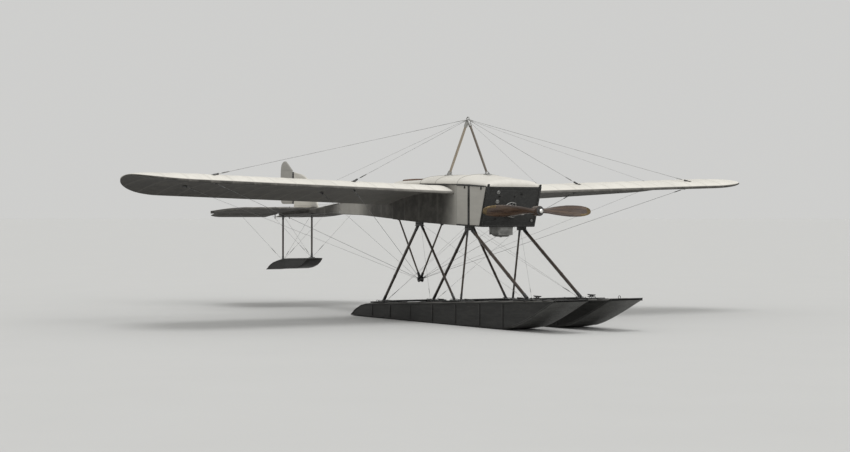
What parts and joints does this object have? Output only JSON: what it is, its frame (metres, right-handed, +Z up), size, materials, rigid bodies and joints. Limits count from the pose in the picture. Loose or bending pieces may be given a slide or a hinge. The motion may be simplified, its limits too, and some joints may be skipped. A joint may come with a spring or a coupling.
{
  "type": "early floatplane monoplane",
  "caption": "Wire-braced early monoplane on twin punt floats with a tail float, open cockpit, long-nosed tractor propeller and turning rudder and elevator.",
  "frame": {"origin": "on the floor under the middle of the length and of the span, at the level of the main floats' flat bottoms", "axes": "+X forward to the propeller, +Y to port along the wing, +Z up"},
  "size_m": [10.8341, 11.992, 3.431],
  "materials": {
    "doped_fabric": "doped linen, matt",
    "painted_wood": "dark paint, satin",
    "varnished_wood": "dark varnish, satin",
    "dark_sheet": "black paint, worn satin",
    "cast_metal": "as cast, dull",
    "steel": "oiled, dull",
    "leather": "worn"
  },
  "bodies": {
    "airframe": {"cockpit_coaming_port": "doped_fabric", "cockpit_coaming_starboard": "doped_fabric", "control_column": "varnished_wood", "cross_tube_front": "steel", "cross_tube_middle": "steel", "cross_tube_rear": "steel", "engine_block": "cast_metal", "fin": "doped_fabric", "float_port": "painted_wood", "float_starboard": "painted_wood", "float_strut_front_middle_port": "varnished_wood", "float_strut_front_middle_starboard": "varnished_wood", "float_strut_front_port": "varnished_wood", "float_strut_front_starboard": "varnished_wood", "float_strut_rear_middle_port": "varnished_wood", "float_strut_rear_middle_starboard": "varnished_wood", "float_strut_rear_port": "varnished_wood", "float_strut_rear_starboard": "varnished_wood", "flying_stay_inner_port": "steel", "flying_stay_inner_starboard": "steel", "flying_stay_outer_port": "steel", "flying_stay_outer_starboard": "steel", "front_deck": "doped_fabric", "front_plate": "dark_sheet", "fuselage_centre": "doped_fabric", "fuselage_rear": "doped_fabric", "landing_stay_inner_port": "steel", "landing_stay_inner_starboard": "steel", "landing_stay_outer_port": "steel", "landing_stay_outer_starboard": "steel", "lower_pylon_cap": "steel", "lower_pylon_leg_front": "varnished_wood", "lower_pylon_leg_rear": "varnished_wood", "nose_top": "doped_fabric", "nose_tray": "doped_fabric", "rudder_bar": "varnished_wood", "seat": "leather", "shaft_housing": "cast_metal", "sump": "dark_sheet", "tail_float": "painted_wood", "tail_float_strut_front": "varnished_wood", "tail_float_strut_rear": "varnished_wood", "tailplane": "doped_fabric", "upper_pylon_cap": "steel", "upper_pylon_leg_front": "varnished_wood", "upper_pylon_leg_rear": "varnished_wood", "wing_port": "doped_fabric", "wing_starboard": "doped_fabric"},
    "propeller": {"propeller": "varnished_wood", "propeller_hub": "cast_metal", "propeller_shaft": "steel"},
    "rudder": {"rudder": "doped_fabric"},
    "elevator": {"elevator": "doped_fabric"}
  },
  "joints": [
    {"name": "propeller_spin", "type": "hinge", "parent": "airframe", "child": "propeller", "pos_m": [3.797, 0, 1.85], "axis": [1, 0, 0], "continuous": true},
    {"name": "rudder_hinge", "type": "hinge", "parent": "airframe", "child": "rudder", "pos_m": [-4.433, 0, 2.3], "axis": [0, 0, 1], "range_deg": [-28, 28]},
    {"name": "elevator_hinge", "type": "hinge", "parent": "airframe", "child": "elevator", "pos_m": [-4.883, 0, 1.812], "axis": [0, 1, 0], "range_deg": [-16, 34]}
  ]
}
